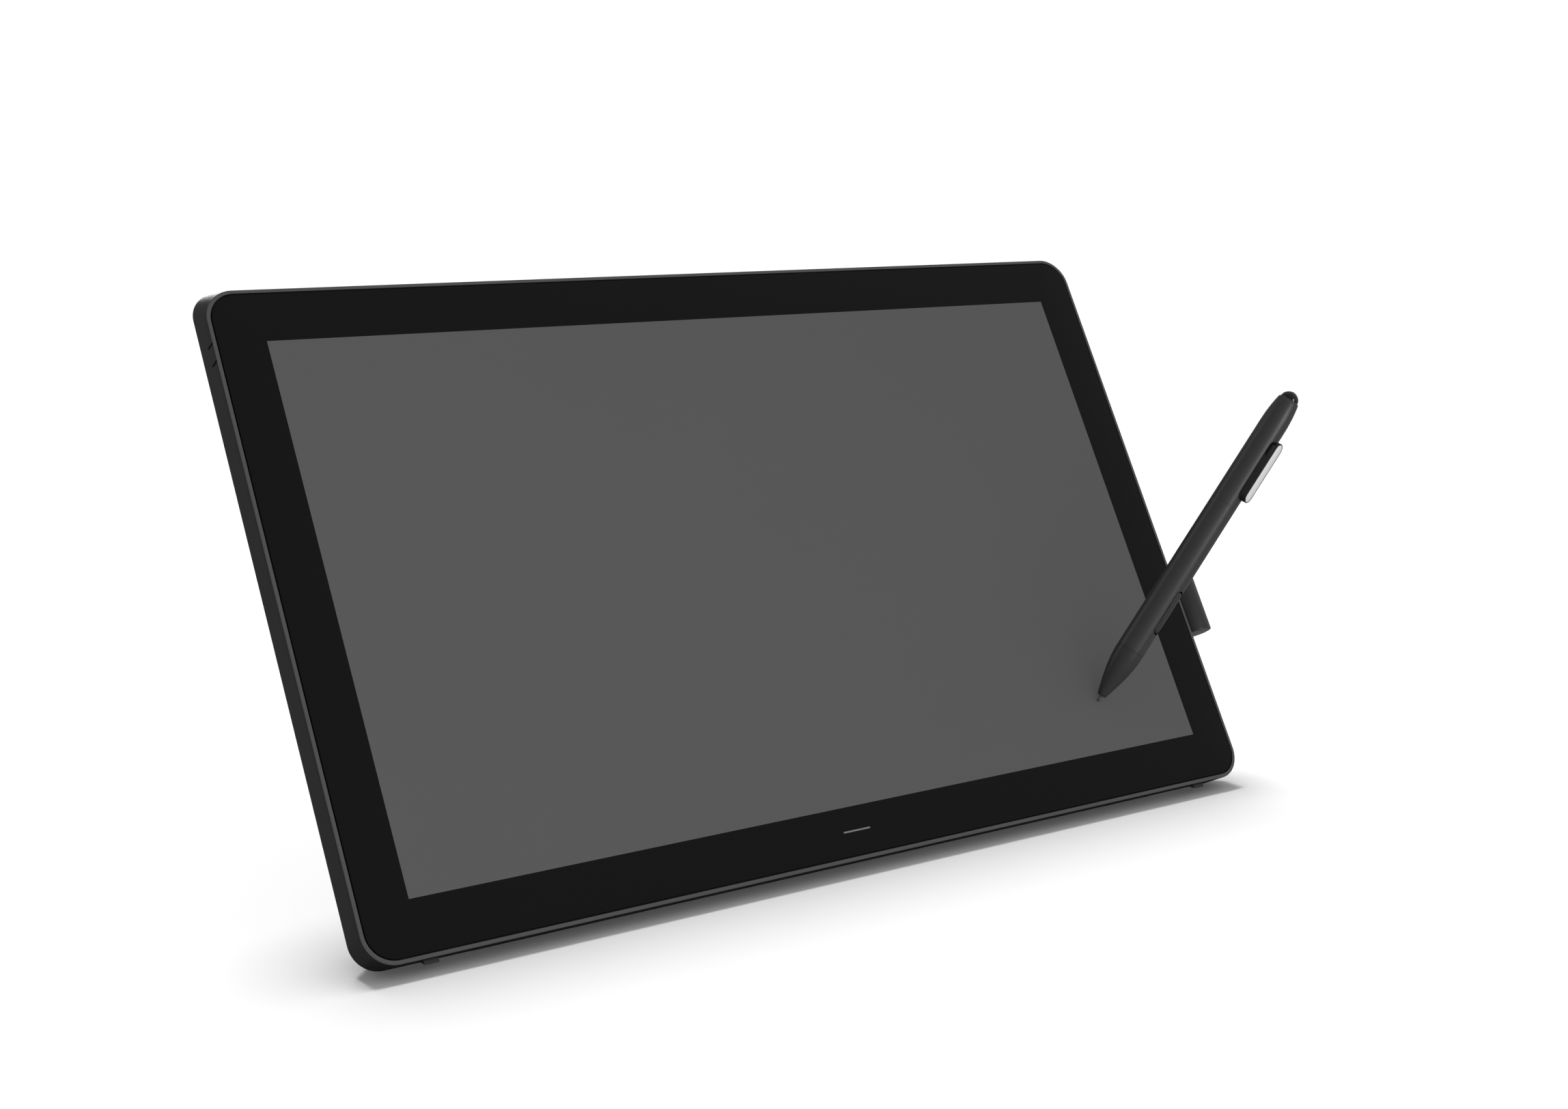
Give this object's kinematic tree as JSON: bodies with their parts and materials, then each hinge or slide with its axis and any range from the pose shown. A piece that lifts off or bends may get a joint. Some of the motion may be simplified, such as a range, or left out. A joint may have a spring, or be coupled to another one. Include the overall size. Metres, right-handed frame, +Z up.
{
  "type": "pen drawing tablet",
  "caption": "Large flat pen display standing tilted on a fold-out leg, with a push-in pen holder on its side and a pressure pen resting on the glass.",
  "frame": {"origin": "on the desk, in the middle of the rubber strip under the lower edge", "axes": "+X to the user's right along the lower edge, +Y away from the user along the desk, +Z up"},
  "size_m": [0.6081, 0.222, 0.3163],
  "materials": {
    "rim": "satin dark grey, fine grain",
    "cover_glass": "etched anti-glare glass",
    "black_print": "matt black print",
    "tape": "foam tape",
    "panel": "matt, switched off",
    "light_guide": "clear acrylic with white film",
    "led_strip": "board with small lamps",
    "panel_frame": "moulded",
    "circuit_board": "solder mask",
    "steel": "zinc plated",
    "alloy": "pressed",
    "black_parts": "moulded chip package",
    "ribbon": "polyimide film",
    "connector": "nickel plated",
    "rear_plastic": "fine spark texture",
    "brass": "knurled",
    "screw": "black zinc",
    "stand_metal": "satin powder coat",
    "pin_steel": "ground",
    "rubber": "matt",
    "foot_plastic": "satin",
    "light_pipe": "frosted clear",
    "holder_plastic": "satin",
    "key_plastic": "satin",
    "power_key": "satin",
    "pen_body": "satin soft-touch",
    "pen_grip": "satin rubber",
    "badge": "brushed and clear anodised",
    "copper": "wound wire",
    "nib_plastic": "acetal",
    "tail_gloss": "polished"
  },
  "bodies": {
    "display": {"front_frame": "rim", "cover_glass": "cover_glass", "border_mask": "black_print", "glass_tape": "tape", "lcd_panel": "panel", "light_guide": "light_guide", "led_bar": "led_strip", "panel_frame": "panel_frame", "sensor_board": "circuit_board", "shield_plate": "steel", "chassis": "alloy", "mount_plate": "steel", "main_board": "circuit_board", "board_chips": "black_parts", "heat_spreader": "alloy", "panel_ribbon": "ribbon", "key_board": "circuit_board", "key_switches": "black_parts", "video_port": "connector", "display_port": "connector", "usb_ports": "connector", "power_inlet": "black_parts", "rear_cover": "rear_plastic", "vesa_inserts": "brass", "cover_screws": "screw", "bracket_screws": "screw", "stand_brackets": "stand_metal", "hinge_pins": "pin_steel", "bottom_strip": "rubber", "front_feet": "foot_plastic", "power_light": "light_pipe", "pen_holder": "holder_plastic", "holder_screws": "screw"},
    "stand_leg": {"left_stand_arm": "stand_metal", "right_stand_arm": "stand_metal", "stand_crossbar": "stand_metal", "stand_pads": "rubber"},
    "power_button": {"power_button": "power_key"},
    "menu_key": {"menu_key": "key_plastic"},
    "up_key": {"up_key": "key_plastic"},
    "down_key": {"down_key": "key_plastic"},
    "select_key": {"select_key": "key_plastic"},
    "pen": {"pen_cone": "pen_grip", "grip_ring": "pen_body", "pen_barrel": "pen_body", "pen_cap": "pen_body", "clip_badge": "badge", "pen_coil": "copper", "pressure_sensor": "black_parts", "pen_board": "circuit_board"},
    "nib": {"nib": "nib_plastic"},
    "side_switch": {"side_switch": "key_plastic"},
    "tail_button": {"tail_button": "tail_gloss"}
  },
  "joints": [
    {"name": "leg_fold", "type": "hinge", "parent": "display", "child": "stand_leg", "pos_m": [0, 0.11727, 0.13983], "axis": [1, 0, 0], "range_deg": [-50, 0]},
    {"name": "power_button_press", "type": "slide", "parent": "display", "child": "power_button", "axis": [0, -0.866, 0.5], "range_m": [0, 0.0007], "stiffness_N_per_m": 700, "springref_m": -0.0006},
    {"name": "menu_key_press", "type": "slide", "parent": "display", "child": "menu_key", "axis": [0, -0.866, 0.5], "range_m": [0, 0.0007], "stiffness_N_per_m": 700, "springref_m": -0.0006},
    {"name": "up_key_press", "type": "slide", "parent": "display", "child": "up_key", "axis": [0, -0.866, 0.5], "range_m": [0, 0.0007], "stiffness_N_per_m": 700, "springref_m": -0.0006},
    {"name": "down_key_press", "type": "slide", "parent": "display", "child": "down_key", "axis": [0, -0.866, 0.5], "range_m": [0, 0.0007], "stiffness_N_per_m": 700, "springref_m": -0.0006},
    {"name": "select_key_press", "type": "slide", "parent": "display", "child": "select_key", "axis": [0, -0.866, 0.5], "range_m": [0, 0.0007], "stiffness_N_per_m": 700, "springref_m": -0.0006},
    {"name": "pen_lift", "type": "slide", "parent": "display", "child": "pen", "axis": [0.5265, -0.183, 0.8302], "range_m": [0, 0.08]},
    {"name": "nib_press", "type": "slide", "parent": "pen", "child": "nib", "axis": [0.5265, -0.183, 0.8302], "range_m": [0, 0.0005], "stiffness_N_per_m": 900, "springref_m": -0.0004},
    {"name": "side_switch_rock", "type": "hinge", "parent": "pen", "child": "side_switch", "pos_m": [0.23365, -0.009, 0.11516], "axis": [0.8306, 0.3187, -0.4566], "range_deg": [-2, 2], "stiffness_Nm_per_rad": 0.05},
    {"name": "tail_button_press", "type": "slide", "parent": "pen", "child": "tail_button", "axis": [-0.5265, 0.183, -0.8302], "range_m": [0, 0.0008], "stiffness_N_per_m": 700, "springref_m": -0.0006}
  ]
}
